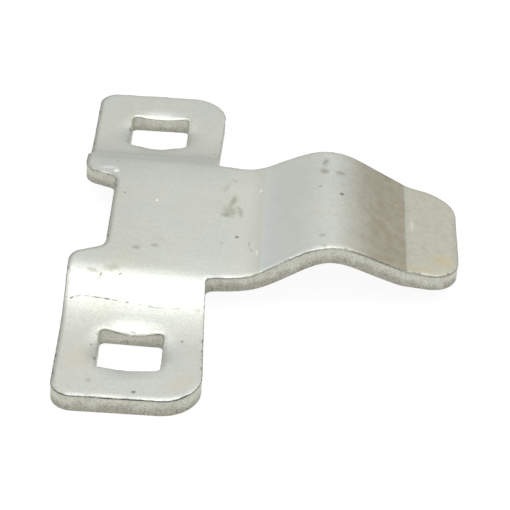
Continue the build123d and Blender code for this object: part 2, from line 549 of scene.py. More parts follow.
def outer_profile(sizes):
    """Rings of the rolled outer edge, of the cut face under it and of its foot."""
    upper = []
    for part in (1.0, 0.8, 0.62, 0.47, 0.34, 0.23, 0.14, 0.07, 0.02):
        height = sizes.plate - sizes.roll_drop * (1 - part) ** 3
        upper.append(
            Ring(sizes.roll_reach * part, height, roll=(1 - part) ** 2, rim=0.6 * part)
        )
    lip = sizes.plate - sizes.roll_drop
    wall = [
        Ring(0.0, lip - 0.05 * MM, burr=0.5, roll=1.0, seam=0.7),
        Ring(-0.01 * MM, lip - 0.13 * MM, burr=1.0, roll=1.0, seam=1.0),
        Ring(0.09 * MM, lip - 0.23 * MM, burr=-0.5, tear=0.2, roll=0.8, seam=1.0),
        Ring(0.08 * MM, lip - 0.36 * MM, burr=-0.3, tear=0.5, roll=0.5, seam=0.75),
    ]
    top, bottom, steps = lip - 0.52 * MM, 0.22 * MM, 10
    for step in range(steps + 1):
        height = top + (bottom - top) * step / steps
        wall.append(Ring(0.0, height, tear=1.0, roll=0.2 * (1 - step / steps)))
    return upper, wall, foot_rings(0.05, 0.16, 0.34, 1.0)


def hole_profile(sizes):
    """Rings of a hole's tight lip, of the pierced wall under it and of its foot."""
    plate = sizes.plate
    upper = [Ring(1.4 * MM, plate, rim=0.6), Ring(0.8 * MM, plate, rim=0.4)]
    for inset, drop in ((0.42, 0.0), (0.25, 0.03), (0.12, 0.09), (0.04, 0.18)):
        upper.append(Ring(inset * MM, plate - drop * MM, burr=0.35, lip=1.0, rim=0.1))
    wall = [
        upper.pop(),
        Ring(0.02 * MM, plate - 0.28 * MM, burr=0.8, lip=1.0, seam=0.9),
        Ring(0.05 * MM, plate - 0.40 * MM, burr=-0.3, tear=0.4, lip=0.9, seam=0.9),
    ]
    top, bottom, steps = plate - 0.55 * MM, 0.25 * MM, 8
    for step in range(steps + 1):
        height = top + (bottom - top) * step / steps
        lip = 0.8 * (1 - step / steps)
        wall.append(Ring(-0.02 * MM, height, burr=0.15, tear=0.8, lip=lip))
    return upper, wall, foot_rings(0.05, 0.18, 0.40, 1.1)


def outline_corners(sizes):
    """Corners of the blank, as (x, y, radius)."""
    back, end = -sizes.back_margin, sizes.end_to_end / 2
    near, far = (
        [
            (back + sizes.notch_depth, sizes.notch_floor / 2, sizes.notch_corner),
            (back, sizes.notch_mouth / 2 - skew, sizes.notch_shoulder),
        ]
        for skew in (0.0, sizes.notch_skew)
    )
    half = [
        (back, end, sizes.back_corner),
        (sizes.front_margin_end, end, sizes.front_corner),
        (sizes.front_margin_root, sizes.tongue_root / 2, sizes.root_corner),
        (sizes.tongue_reach, sizes.tongue_tip / 2, sizes.tip_corner),
    ]
    return far + half + [(x, -y, radius) for x, y, radius in reversed(near + half)]


def hole_corners(sizes, side):
    """Corners of one square hole, as (x, y, radius). Side is -1 for the near one."""
    half, middle = sizes.hole_side / 2, side * sizes.hole_spacing / 2
    skew = sizes.hole_skew if side < 0 else 0.0
    signs = ((1, 1, skew), (-1, 1, 0.0), (-1, -1, skew), (1, -1, 0.0))
    return [
        (across * half, middle + along * (half - less), sizes.hole_corner)
        for across, along, less in signs
    ]


class Blank:
    """The flat blank's points and faces, with what the press and the finish need."""

    def __init__(self, plate):
        self.plate = plate
        self.points, self.outward, self.traits = [], [], []
        self.faces, self.cut = [], []

    def add_point(self, x, y, ring, outward=(0.0, 0.0)):
        """A point at the ring's height. Outward points away from the steel."""
        self.points.append((x, y, ring.height))
        self.outward.append((*outward, 0.0))
        self.traits.append((*ring[2:], 1 - ring.height / self.plate))

    def add_face(self, corners, cut=False):
        """A face, which may be part of a cut face of the plate."""
        self.faces.append(corners)
        self.cut.append(cut)

    def add_wall(self, loop, out, profile):
        """Strips from ring to ring along a loop. Gives the first and the last ring."""
        upper, wall, foot = profile
        size, rings = len(loop), []
        for ring in (*upper, *wall, *foot):
            rings.append(range(len(self.points), len(self.points) + size))
            for (x, y), direction in zip(loop - out * ring.inset, out):
                self.add_point(x, y, ring, direction)
        for index, (above, below) in enumerate(zip(rings, rings[1:])):
            cut = 0 <= index - len(upper) < len(wall)
            for k in range(size):
                n = (k + 1) % size
                self.add_face((above[k], below[k], below[n], above[n]), cut)
        return rings[0], rings[-1]

    def add_sheet(self, rings, step, height, draw):
        """A level sheet inside the first ring and outside the others."""
        outlines = [np.array([self.points[index][:2] for index in ring]) for ring in rings]
        grid, gaps, triangles = fill_sheet(outlines[0], outlines[1:], step, draw)
        numbers = [index for ring in rings for index in ring]
        numbers += range(len(self.points), len(self.points) + len(grid))
        for (x, y), gap in zip(grid, gaps):
            rim = min(1.0, RIM_AT_SHEET + gap / RIM_FADE)
            self.add_point(x, y, Ring(0.0, height, rim=rim))
        for a, b, c in triangles:
            seen_from_outside = (a, b, c) if height > 0 else (a, c, b)
            self.add_face([numbers[index] for index in seen_from_outside])

    def mesh(self):
        """The mesh, with the traits, the outward direction and the cut faces on it."""
        mesh = bpy.data.meshes.new("flat_blank")
        mesh.from_pydata(self.points, [], self.faces)
        layers = [(name, "FLOAT", "POINT", "value") for name in TRAITS]
        layers.append(("outward", "FLOAT_VECTOR", "POINT", "vector"))
        layers.append(("cut_face", "BOOLEAN", "FACE", "value"))
        columns = [*zip(*self.traits), self.outward, self.cut]
        for (name, kind, domain, key), values in zip(layers, columns):
            layer = mesh.attributes.new(name, kind, domain)
            layer.data.foreach_set(key, np.ravel(values))
        return mesh


def blank_mesh(sizes):
    """The flat blank as a closed mesh."""
    draw = random.Random(sizes.seed)
    blank = Blank(sizes.plate)
    outline = rounded_loop(outline_corners(sizes), sizes.edge_step)
    walls = [blank.add_wall(*outline, outer_profile(sizes))]
    for side in (-1, 1):
        loop, out = rounded_loop(hole_corners(sizes, side), sizes.edge_step)
        walls.append(blank.add_wall(loop[::-1], -out[::-1], hole_profile(sizes)))
    first_rings, last_rings = zip(*walls)
    blank.add_sheet(first_rings, sizes.top_step, sizes.plate, draw)
    blank.add_sheet(last_rings, sizes.under_step, 0.0, draw)
    return blank.mesh()


# ---------------------------------------------------------------- the forming

# Blender's smooth minimum and maximum lie a sixth of their softness off the corner.
SOFTNESS_PER_GAP = 6.0


def bent_min(first, second, softness):
    """The lower of two heights, with a bend where they cross."""
    return first.math("SMOOTH_MIN", second, softness)


def bent_max(first, second, softness):
    """The higher of two heights, with a bend where they cross."""
    return first.math("SMOOTH_MAX", second, softness)


def bend_softness(radius, first, second):
    """The softness that gives a bend of that radius between two slopes."""
    turn = (second - first).math("ABSOLUTE")
    middle = (first + second) / 2.0
    gap = radius * (1.0 / (turn / 2.0).math("COSINE") - 1.0) / middle.math("COSINE")
    return SOFTNESS_PER_GAP * gap


def side_height(x, entry, depth):
    """Height of the bridge and tongue along X, at a depth below the upper face."""
    lean, ramp = 0.0 - entry["Bridge Lean"], entry["Ramp Angle"]
    fall, tab = 0.0 - entry["Fall Angle"], 0.0 - entry["Tab Angle"]
    slopes = (lean, ramp, fall, tab)
    starts = (0.0, entry["Ramp X"], entry["Crest X"], entry["Tab X"])
    rises = [slope.math("TANGENT") for slope in slopes]
    heights = [entry["Plate Thickness"] + entry["Bridge Rise"]]
    for rise, start, end in zip(rises, starts, starts[1:]):
        heights.append(heights[-1] + (end - start) * rise)
    lines = [
        height + (x - start) * rise - depth / slope.math("COSINE")
        for height, start, rise, slope in zip(heights, starts, rises, slopes)
    ]
    ramp_foot = bend_softness(entry["Ramp Bend"] + depth, lean, ramp)
    crest = bend_softness(entry["Crest Bend"] - depth, ramp, fall)
    tab_head = bend_softness(entry["Tab Bend"] + depth, fall, tab)
    rising = bent_max(lines[0], lines[1], ramp_foot)
    falling = bent_max(lines[2], lines[3], tab_head)
    return bent_min(rising, falling, crest)


def face_height(x, aside, entry, depth):
    """Height of the pressed plate anywhere, at a depth below the upper face."""
    thickness, foot = entry["Plate Thickness"], entry["Bridge Foot"]
    flank, flare_start = entry["Flank Angle"], entry["Flare Start"]
    # The bridge is a little crowned, and the tongue is flat across again.
    crowned = (aside - entry["Crown Start"]).math("MAXIMUM", 0.0)
    crowned = crowned / (foot - entry["Crown Start"])
    crowned = crowned * crowned * soften(x, entry["Crown End"], flare_start)
    bridge = side_height(x, entry, depth) - entry["Crown Drop"] * crowned
    # Beyond their end the flanks stand further and further away from the tongue.
    flare = entry["Flare"] * (x - flare_start).math("MAXIMUM", 0.0)
    slope = thickness + (foot + flare - aside) * flank.math("TANGENT")
    slope = slope - depth / flank.math("COSINE")
    # Each bolted end sweeps up a little as it nears its crease.
    beyond = (aside - foot).math("MAXIMUM", 0.0)
    left = (1.0 - beyond / entry["Sweep Reach"]).math("MAXIMUM", 0.0)
    end = thickness + entry["Sweep Height"] * left * left - depth
    ridge = bend_softness(entry["Ridge Bend"] - depth, 0.0, flank)
    crease = bend_softness(entry["Crease Bend"] + depth, 0.0, flank)
    return bent_max(bent_min(bridge, slope, ridge), end, crease)


def hole_dish(x, y, aside, entry):
    """How far the punch drew the upper face down round each square hole."""
    away = aside - entry["Hole Offset"]
    from_hole = (x * x + away * away).math("SQRT")
    run = (entry["Lip Reach"] - from_hole).math("MAXIMUM", 0.0)
    part = run / (entry["Lip Reach"] - entry["Hole Half"])
    dish = entry["Lip Drop"] * part * part * (0.4 + 0.6 * part)
    # The dish is shallower on each hole's outer side, from start to full, by the loss.
    for side, start, full, loss in ((-1.0, -1.0, -5.0, 0.6), (1.0, 0.0, 5.0, 0.4)):
        middle = entry["Hole Offset"] * side
        outer = soften(y, middle + start * MM, middle + full * MM)
        dish = dish * (1.0 - loss * outer)
    return dish


def build_forming_nodes(names):
    """The press: it takes the flat blank and moves every point to its formed place."""
    inputs = {"Geometry": "Geometry", **dict.fromkeys(names, "Float")}
    inputs.update({"Face Material": "Material", "Cut Material": "Material"})
    tree, entry = new_group(
        "press_forming", "GeometryNodeTree", inputs, {"Geometry": "Geometry"}
    )
    place = Wire(tree, tree.nodes.new("GeometryNodeInputPosition").outputs[0])
    x, y, z = axes(place)
    aside = y.math("ABSOLUTE")

    def stored(name, kind="FLOAT"):
        node = add_node(tree, "GeometryNodeInputNamedAttribute", {"data_type": kind})
        node.inputs["Name"].default_value = name
        return Wire(tree, node.outputs[0])

    thickness, burr = entry["Plate Thickness"], entry["Burr"]
    top = face_height(x, aside, entry, 0.0) - hole_dish(x, y, aside, entry)
    wave = uneven(place, 48.0, 2.0) * 2.0 + uneven(place, 190.0, 2.0) * 0.7
    top = top + entry["Waviness"] * wave
    top = top + stored("lip") * entry["Lip Bumps"] * uneven(place, 620.0) * 2.0
    top = top - stored("roll") * burr * (uneven(place, 260.0, 2.0) * 1.4 + 0.1)
    top = top + stored("seam") * burr * uneven(place, 900.0, 4.0, 0.7) * 1.8
    # The underside follows the upper face, one thickness below.
    under = face_height(x, aside, entry, thickness)
    formed = under + z / thickness * (top - under)

    # The line under the rolled edge is ragged, more outwards than inwards, and the cut
    # faces are rough.
    shreds = noise(place, 1250.0, 4.0, 0.6) - 0.32
    grit = uneven(place, 900.0, 4.0, 0.6) * 1.6
    scallop = uneven(stretched(place, 1.0, 1.0, 0.12), 520.0) * 1.2
    push = stored("burr") * burr * shreds
    push = push + stored("tear") * entry["Tear"] * (grit + scallop)
    spot = add_node(tree, "ShaderNodeCombineXYZ", X=x, Y=y, Z=formed).outputs[0]
    aim = stored("outward", "FLOAT_VECTOR").vector("MULTIPLY", push)

    cut = {"Selection": stored("cut_face", "BOOLEAN"), "Material": entry["Cut Material"]}
    shape = entry["Geometry"]
    for kind, entries in (
        ("SetPosition", {"Position": Wire(tree, spot).vector("ADD", aim)}),
        ("SetShadeSmooth", {"Shade_Smooth": True}),
        ("RealizeInstances", {}),
        ("SetMaterial", {"Material": entry["Face Material"]}),
        ("SetMaterial", cut),
    ):
        node = add_node(tree, "GeometryNode" + kind, Geometry=shape, **entries)
        shape = node.outputs[0]
    return close_group(tree, Geometry=shape)


def formed_plate(blank, tree, values):
    """Runs the press on the blank and gives the result as a plain mesh."""
    holder = add_object("blank_in_press", blank)
    press = holder.modifiers.new("Press", "NODES")
    press.node_group = tree
    for item in tree.interface.items_tree:
        if item.item_type == "SOCKET" and item.in_out == "INPUT" and item.name in values:
            press[item.identifier] = values[item.name]
    graph = bpy.context.evaluated_depsgraph_get()
    mesh = bpy.data.meshes.new_from_object(
        holder.evaluated_get(graph), preserve_all_data_layers=True, depsgraph=graph
    )
    holder.modifiers.remove(press)
    bpy.data.objects.remove(holder)
    return mesh


# ---------------------------------------------------------------- the finish


class Paint:
    """The colour of a surface, built up coat by coat."""

    # Places of a Mix node's colour sockets among its inputs and outputs
    FACTOR, UNDER, OVER, RESULT = 0, 6, 7, 2

    def __init__(self, tree, colour):
        self.tree = tree
        self.colour = colour

    def coat(self, amount, colour, how="MIX"):
        """Turns the colour so far into the given one by amount."""
        settings = {"data_type": "RGBA", "blend_type": how}
        node = add_node(self.tree, "ShaderNodeMix", settings)
        connect(self.tree, amount, node.inputs[self.FACTOR])
        connect(self.tree, self.colour, node.inputs[self.UNDER])
        connect(self.tree, colour, node.inputs[self.OVER])
        self.colour = Wire(self.tree, node.outputs[self.RESULT])


def grain_group():
    """Fine grain and slow clouds, for any metal surface."""
    inputs = {"Place": "Vector", "Grain Scale": "Float", "Cloud Scale": "Float"}
    outputs = dict.fromkeys(("Grain", "Cloud", "Mottle"), "Float")
    tree, entry = new_group("metal_grain", "ShaderNodeTree", inputs, outputs)
    place, clouds = entry["Place"], entry["Cloud Scale"]
    return close_group(
        tree,
        Grain=noise(place, entry["Grain Scale"], 3.0, 0.6),
        Cloud=noise(place, clouds, 3.0, 0.55, 0.4),
        Mottle=noise(place, clouds * 5.0, 4.0, 0.6, 0.6),
    )


def pit_group():
    """Small round pits, thinly and unevenly scattered."""
    inputs = {"Place": "Vector", "Scale": "Float", "Size": "Float", "Share": "Float"}
    tree, entry = new_group("pits", "ShaderNodeTree", inputs, {"Mask": "Float"})
    place, scale = entry["Place"], entry["Scale"]
    cells = add_node(tree, "ShaderNodeTexVoronoi", Vector=place, Scale=scale)
    chance, bulk, _ = axes(Wire(tree, cells.outputs["Color"]))
    away = Wire(tree, cells.outputs["Distance"]) / (entry["Size"] * (bulk + 0.35))
    pit = soften(away, 1.0, 0.45) * chance.math("LESS_THAN", entry["Share"])
    return close_group(tree, Mask=pit)


def mark_group():
    """One mark: a soft-edged, ragged oval round an upright line."""
    inputs = dict.fromkeys(("Place", "Centre", "Half Size"), "Vector")
    inputs.update(dict.fromkeys(("Turn", "Fringe", "Softness"), "Float"))
    tree, entry = new_group("mark", "ShaderNodeTree", inputs, {"Mask": "Float"})
    turned = add_node(
        tree,
        "ShaderNodeVectorRotate",
        {"rotation_type": "Z_AXIS"},
        Vector=entry["Place"].vector("SUBTRACT", entry["Centre"]),
        Angle=entry["Turn"],
    )
    sized = Wire(tree, turned.outputs[0]).vector("DIVIDE", entry["Half Size"])
    across, along, _ = axes(sized)
    away = (across * across + along * along).math("SQRT") + entry["Fringe"]
    return close_group(tree, Mask=soften(away, 1.0, 1.0 - entry["Softness"]))


def new_material(name):
    """A material, its tree and the object's own coordinates in it."""
    material = bpy.data.materials.new(name)
    material.use_nodes = True
    tree = material.node_tree
    place = tree.nodes.new("ShaderNodeTexCoord").outputs["Object"]
    return material, tree, Wire(tree, place)


def finish_metal(tree, colour, metal, roughness, height, strength, depth):
    """Feeds the shader of a metal surface. Strength and depth are those of its bumps."""
    shader = tree.nodes["Principled BSDF"]
    bump = add_node(
        tree, "ShaderNodeBump", Height=height, Strength=strength, Distance=depth
    )
    entries = {"Base Color": colour, "Metallic": metal, "Roughness": roughness}
    for name, value in (*entries.items(), ("Normal", bump.outputs[0])):
        connect(tree, value, shader.inputs[name])
    arrange(tree)


# Marks on the upper face: colour, then x, y, half length and half width in millimetres,
# turn in degrees, raggedness, softness and strength
MARKS = (
    ("brown", -1.0, -12.4, 1.15, 1.05, 0, 0.5, 0.8, 0.60),
    ("brown", 2.5, -11.2, 1.15, 0.90, 10, 0.5, 0.8, 0.55),
    ("brown", 3.0, -9.0, 3.00, 1.60, 20, 1.6, 0.95, 0.14),
    ("brown", -8.3, -20.2, 1.90, 0.80, 20, 1.4, 0.9, 0.70),
    ("brown", -5.0, -19.2, 2.40, 1.40, -20, 1.4, 0.9, 0.55),
    ("brown", -7.0, -21.5, 0.30, 1.60, 35, 0.8, 0.8, 0.55),
    ("dirt", -3.3, -20.6, 0.50, 0.22, -35, 0.5, 0.6, 0.90),
    ("dirt", -6.9, -20.9, 0.20, 0.60, 20, 0.5, 0.6, 0.70),
    ("brown", 16.2, 2.8, 2.10, 3.00, -12, 1.0, 0.80, 0.50),
    ("brown", 16.7, 6.6, 0.95, 3.20, 10, 0.9, 0.8, 0.60),
    ("brown", 15.5, 1.6, 1.60, 1.20, 20, 1.2, 0.8, 0.50),
    ("brown", 18.2, 2.8, 0.80, 3.00, -10, 0.9, 0.8, 0.50),
    ("brown", 15.2, 11.4, 1.10, 2.60, 10, 1.6, 0.9, 0.30),
    ("brown", 16.6, 14.2, 1.60, 0.70, 20, 1.4, 0.9, 0.28),
    ("dirt", 15.1, -8.4, 0.34, 0.34, 0, 0.5, 0.7, 0.50),
    ("dirt", 17.9, -5.9, 0.50, 0.46, 0, 0.5, 0.6, 0.85),
    ("dirt", 10.3, -7.8, 0.30, 0.30, 0, 0.5, 0.8, 0.35),
    ("dirt", 9.3, -34.9, 0.40, 0.50, 0, 0.5, 0.7, 0.60),
    ("dirt", 1.7, -50.6, 0.60, 0.50, -15, 0.7, 0.6, 0.80),
    ("brown", -6.6, -48.0, 0.90, 0.80, 0, 0.8, 0.8, 0.50),
    ("dirt", 37.6, 1.8, 0.62, 0.50, 0, 0.6, 0.6, 0.90),
    ("rust", 48.7, 6.1, 0.50, 0.50, 0, 0.5, 0.7, 0.70),
    ("dirt", 34.4, 13.0, 1.00, 2.20, 12, 1.8, 0.9, 0.42),
    ("brown", 34.2, 9.6, 1.20, 1.50, -20, 1.8, 0.9, 0.70),
    ("brown", 37.4, 9.2, 1.50, 1.50, -20, 1.8, 0.9, 0.60),
    ("brown", 34.0, -13.0, 1.10, 0.80, 0, 1.2, 0.9, 0.55),
    ("brown", 34.3, -16.4, 0.90, 0.80, 0, 1.2, 0.9, 0.60),
    ("dirt", 46.6, 15.6, 2.20, 1.00, -8, 1.8, 0.9, 0.45),
    ("rust", 57.6, -9.0, 3.60, 3.60, 30, 1.2, 0.95, 0.45),
    ("rust", 53.0, -13.4, 5.00, 1.00, -6, 1.2, 0.95, 0.45),
    ("dirt", -11.4, 24.0, 1.70, 1.10, -10, 1.0, 0.9, 0.55),
    # A broken dark line along the near crease
    ("dirt", -11.8, -25.5, 0.65, 0.24, -28, 0.5, 0.7, 0.90),
    ("dirt", -10.6, -25.1, 1.10, 0.16, -12, 0.5, 0.8, 0.55),
    ("dirt", -9.0, -25.0, 1.10, 0.16, 3, 0.5, 0.8, 0.60),
    ("dirt", -7.1, -25.15, 1.50, 0.20, 4, 0.6, 0.7, 0.85),
    ("dirt", -5.3, -25.3, 0.90, 0.26, 5, 0.6, 0.7, 0.90),
    ("dirt", -3.8, -25.5, 1.00, 0.20, 8, 0.7, 0.8, 0.60),
    ("dirt", -1.5, -25.75, 0.60, 0.30, 7, 1.2, 0.9, 0.48),
    ("dirt", 0.9, -26.0, 0.45, 0.34, 5, 1.4, 0.9, 0.40),
    ("dirt", 2.7, -26.3, 0.50, 0.30, 4, 1.4, 0.9, 0.34),
    ("dirt", 4.2, -26.5, 2.30, 0.24, 6, 2.2, 0.95, 0.30),
    ("dirt", 7.6, -26.4, 1.60, 0.30, -6, 2.2, 0.95, 0.22),
    ("dirt", 11.6, -26.5, 0.90, 0.60, 0, 2.0, 0.95, 0.22),
    ("tab_zinc", -1.0, -16.4, 14.0, 5.00, 2, 2.0, 1.0, 0.26),
    ("dirt", 20.3, -8.4, 0.14, 1.20, 8, 0.4, 0.7, 0.50),
    ("dirt", 20.8, -10.6, 0.14, 1.10, -20, 0.4, 0.7, 0.50),
    ("bare", 1.8, 4.5, 0.42, 0.46, 0, 0.3, 0.8, 0.60),
    ("bare", 22.0, 9.9, 0.40, 0.70, 0, 0.8, 0.8, 0.45),
    ("bare", 21.9, -11.8, 0.36, 1.30, 0, 0.8, 0.8, 0.30),
    ("brown", 50.1, 7.5, 0.22, 6.50, 0, 0.5, 0.8, 0.45),
    # Painted highlight along the back notch's upper edge
    ("bare", -8.9, 14.9, 3.2, 0.9, -5, 0.8, 0.8, 0.22),
    ("bare", -7.0, 13.9, 0.9, 0.9, 0, 0.8, 0.8, 0.60),
    # Painted highlight along the ramp's root
    ("bare", 22.5, 0.5, 0.12, 13.5, 0, 0.5, 0.8, 0.14),
    ("bare", 51.6, 1.0, 0.50, 3.20, 0, 1.0, 0.9, 0.16),
    ("rust", 10.6, -46.5, 3.20, 5.00, 20, 1.2, 0.95, 0.20),
    ("rust", 8.4, -48.6, 2.80, 2.20, 0, 1.2, 0.95, 0.18),
    ("rust", -9.0, -42.0, 3.00, 5.00, 0, 1.4, 0.95, 0.14),
)


def tint_regions(paint, finish, place):
    """The broad tints along the bracket, with painted light in some. Gives the amount of
    the fall's tarnish and painted dark reflection.
    """
    x, y, _ = axes(place)
    wobble = uneven(place, 130.0, 4.0, 0.6) * (2.4 * MM)
    patchy = noise(place, 420.0, 4.0, 0.6)
    fall_tarnish_and_reflection = zone(x + wobble, 35.0, 45.0) * zone(x + wobble * 0.12, 50.7, 50.0)
    ramp = zone(x + wobble * 0.04, 22.55, 22.75) * zone(x, 34.0, 23.0)
    before_ramp = zone(x, 12.0, 22.0) * zone(x, 22.75, 22.55)
    # Darker towards the near end and at the back corner
    back = zone(x, 5.0, -7.0) * zone(y, 24.0, 16.0)
    dulled = zone(y, -31.0, -36.0).math("MAXIMUM", back * 0.8)
    scuffed = soften(noise(place, 620.0, 5.0, 0.72), 0.44, 0.66)
    # Tarnish on the fall, darkened further as a painted dark reflection
    paint.coat(fall_tarnish_and_reflection * (0.30 + patchy * 0.75), finish.tarnish)
    # The ramp is bluer, and painted lighter to offset its shade
    paint.coat(ramp * 0.9, finish.ramp_zinc)
    paint.coat(before_ramp * 0.45, finish.warm_zinc)
    paint.coat(zone(x, 50.0, 50.8) * 0.6, finish.tab_zinc)
    paint.coat(dulled, finish.dulled, "MULTIPLY")
    # The scuffs are thickest on the tongue.
    paint.coat(scuffed * (0.06 + 0.17 * zone(x, 28.0, 50.0)), finish.brown)
    return fall_tarnish_and_reflection


def lay_marks(paint, finish, group, place, fringe):
    """The marks, on the upper face only."""
    upper = 1.0 - attribute(paint.tree, "depth")
    for name, x, y, long, wide, turn, ragged, softness, strength in MARKS:
        mark = use_group(
            paint.tree,
            group,
            Place=place,
            Centre=(x * MM, y * MM, 0.0),
            Half_Size=(long * MM, wide * MM, 1.0),
            Turn=math.radians(turn),
            Fringe=fringe * ragged,
            Softness=softness,
        )
        paint.coat(mark["Mask"] * upper * strength, getattr(finish, name))


def edge_contrast(place):
    """The torn line's painted shadow is plainest at the near end and fades along the
    bracket.
    """
    return 1.0 - 0.55 * zone(axes(place)[1], -45.0, 5.0)


def wear_edges(paint, finish, place, fringe, nicked):
    """Painted shade on the backward-facing rolled edges, the torn line's painted shadow,
    and nicks along the upper edges.
    """
    rim = attribute(paint.tree, "rim")
    # Painted shade: the rolled outer edges that face backwards are darkened, standing in
    # for their dark reflection.
    outward = axes(attribute(paint.tree, "outward", "Vector"))[0]
    backward = (0.0 - outward).math("MAXIMUM", 0.0)
    painted_edge_shade = soften(rim + fringe * 0.25, 0.50, 0.02) * backward
    painted_edge_shade = painted_edge_shade * (1.0 - attribute(paint.tree, "lip"))
    painted_seam_shadow = soften(rim + uneven(place, 1000.0, 4.0, 0.7) * 0.30, 0.05, 0.0)
    paint.coat(painted_edge_shade * 0.48, finish.dirt)
    # Painted shadow right along the torn line under the rolled edge
    paint.coat(painted_seam_shadow * edge_contrast(place) * 0.65, finish.seam)
    paint.coat(nicked * 0.55, finish.dirt)


def plated_material(finish, groups):
    """Dull zinc plating, clouded and stained, on the formed faces, with painted shade,
    reflection and highlights.
    """
    material, tree, place = new_material("dull_zinc")
    grain = use_group(
        tree, groups["grain"], Place=place, Grain_Scale=2300.0, Cloud_Scale=55.0
    )
    # Pits lie anywhere on the faces, and bigger nicks only along the edges.
    pits, nicks = (
        use_group(tree, groups["pits"], Place=place, Scale=scale, Size=size, Share=some)
        for scale, size, some in ((420.0, 0.16, 0.055), (760.0, 0.42, 0.30))
    )
    nicked = nicks["Mask"] * soften(attribute(tree, "rim"), 0.30, 0.08)
    satin = noise(stretched(place, 0.10, 1.0, 1.0), 1100.0, 3.0, 0.6)
    speckle = soften(grain["Grain"], 0.30, 0.70)
    fringe = uneven(place, 1100.0, 4.0, 0.65)

    paint = Paint(tree, finish.zinc)
    paint.coat(soften(grain["Cloud"], 0.40, 0.70) * 0.7, finish.cool_zinc)
    paint.coat(soften(grain["Cloud"], 0.55, 0.28) * 0.7, finish.warm_zinc)
    paint.coat(satin * 0.13 + speckle * 0.17, finish.grain_shade, "MULTIPLY")
    fall_tarnish_and_reflection = tint_regions(paint, finish, place)
    lay_marks(paint, finish, groups["mark"], place, fringe)
    paint.coat(pits["Mask"] * 0.5, finish.dirt)
    wear_edges(paint, finish, place, fringe, nicked)

    # The plating is duller in the near crease and under the fall's tarnish and painted
    # reflection.
    y = axes(place)[1]
    creased = zone(y, -24.6, -26.6) * zone(y, -33.0, -27.5)
    rough = finish.roughness + (grain["Mottle"] - 0.5) * 0.10
    rough = rough + (grain["Grain"] - 0.5) * 0.25 + creased * 0.09 + fall_tarnish_and_reflection * 0.06
    height = grain["Grain"] * 0.8 + satin * 0.5 - pits["Mask"] - nicked
    finish_metal(
        tree, paint.colour, finish.metal, rough, height, strength=0.45, depth=0.05 * MM
    )
    return material


def sheared_material(finish, groups):
    """The cut face: a smooth upper zone, a torn lower zone, pits, streaks and the torn
    line's painted shadow.
    """
    material, tree, place = new_material("sheared_steel")
    grain = use_group(
        tree, groups["grain"], Place=place, Grain_Scale=2600.0, Cloud_Scale=70.0
    )
    border = (grain["Mottle"] - 0.5) * 0.9 + (grain["Cloud"] - 0.5) * 0.8
    torn = soften(attribute(tree, "depth") + border, 0.35, 0.85)
    streaks = noise(stretched(place, 1.0, 1.0, 0.10), 1500.0, 3.0, 0.6)
    shade = soften(streaks * 0.35 + grain["Grain"] * 0.65, 0.36, 0.66)
    specks = noise(place, 4000.0, 3.0, 0.65)
    pitted = soften(specks + torn * 0.06, 0.56, 0.70)
    frayed = uneven(place, 900.0, 4.0, 0.7) * 1.1 + uneven(place, 150.0, 2.0) * 1.5
    seam = soften(attribute(tree, "seam") + frayed, 0.42, 0.80)

    paint = Paint(tree, finish.cut_steel)
    paint.coat(torn * 0.6, finish.torn_steel)
    paint.coat(shade * 0.45, finish.torn_steel)
    paint.coat(pitted * 0.62, finish.dirt)
    # Painted shadow: the torn line under the rolled edge is darkened
    paint.coat(seam * edge_contrast(place) * 0.82, finish.seam)
    rough = finish.cut_roughness + torn * 0.12
    height = grain["Grain"] * 0.6 + streaks * 0.5 - pitted * 1.3
    finish_metal(
        tree, paint.colour, finish.cut_metal, rough, height, strength=0.55, depth=0.10 * MM
    )
    return material


# ---------------------------------------------------------------- the stage

# Where the camera stands, in metres, and the directions of its view
CAMERA_PLACE = Vector((0.021570, -0.361251, 0.246788))
CAMERA_RIGHT = Vector((0.997997, 0.0356743, 0.0522411))
CAMERA_DOWN = Vector((0.0632597, -0.562905, -0.824097))
CAMERA_FORWARD = Vector((0.0000077, 0.825751, -0.564034))
CAMERA_REACH = (0.01, 20.0)  # nearest and furthest that it sees
SENSOR_WIDTH = 36.0  # in millimetres

# The softbox over the bracket: its sides, its place and the point that it faces
SOFTBOX_SIDES = (0.90, 1.00)
SOFTBOX_PLACE = Vector((0.02, -0.20, 0.60))
SOFTBOX_AIM = Vector((0.02, -0.20, 0.0))

WHITE = (1.0, 1.0, 1.0)
FLOOR_WHITENESS = 0.93  # how far plain white hides the floor's own shading


def stage_material(name, build):
    """A material whose surface is the node that build makes in its tree."""
    material = bpy.data.materials.new(name)
    material.use_nodes = True
    tree = material.node_tree
    tree.nodes.remove(tree.nodes["Principled BSDF"])
    surface = build(tree).outputs[0]
    tree.links.new(surface, tree.nodes["Material Output"].inputs["Surface"])
    arrange(tree)
    return material


def lay_floor(look):
    """The floor: white for the camera and for reflections, with a soft shadow left."""

    def surface(tree):
        lit = add_node(tree, "ShaderNodeBsdfDiffuse", Color=look.floor_colour)
        white = add_node(tree, "ShaderNodeEmission", Color=WHITE, Strength=1.0)
        amount = direct_rays(tree) * FLOOR_WHITENESS
        mixed = add_node(tree, "ShaderNodeMixShader", Fac=amount)
        tree.links.new(lit.outputs[0], mixed.inputs[1])
        tree.links.new(white.outputs[0], mixed.inputs[2])
        return mixed

    half = look.floor_size / 2
    corners = [(-half, -half), (half, -half), (half, half), (-half, half)]
    mesh = bpy.data.meshes.new("floor")
    mesh.from_pydata([(x, y, 0.0) for x, y in corners], [], [(0, 1, 2, 3)])
    mesh.materials.append(stage_material("white_floor", surface))
    floor = add_object("floor", mesh)


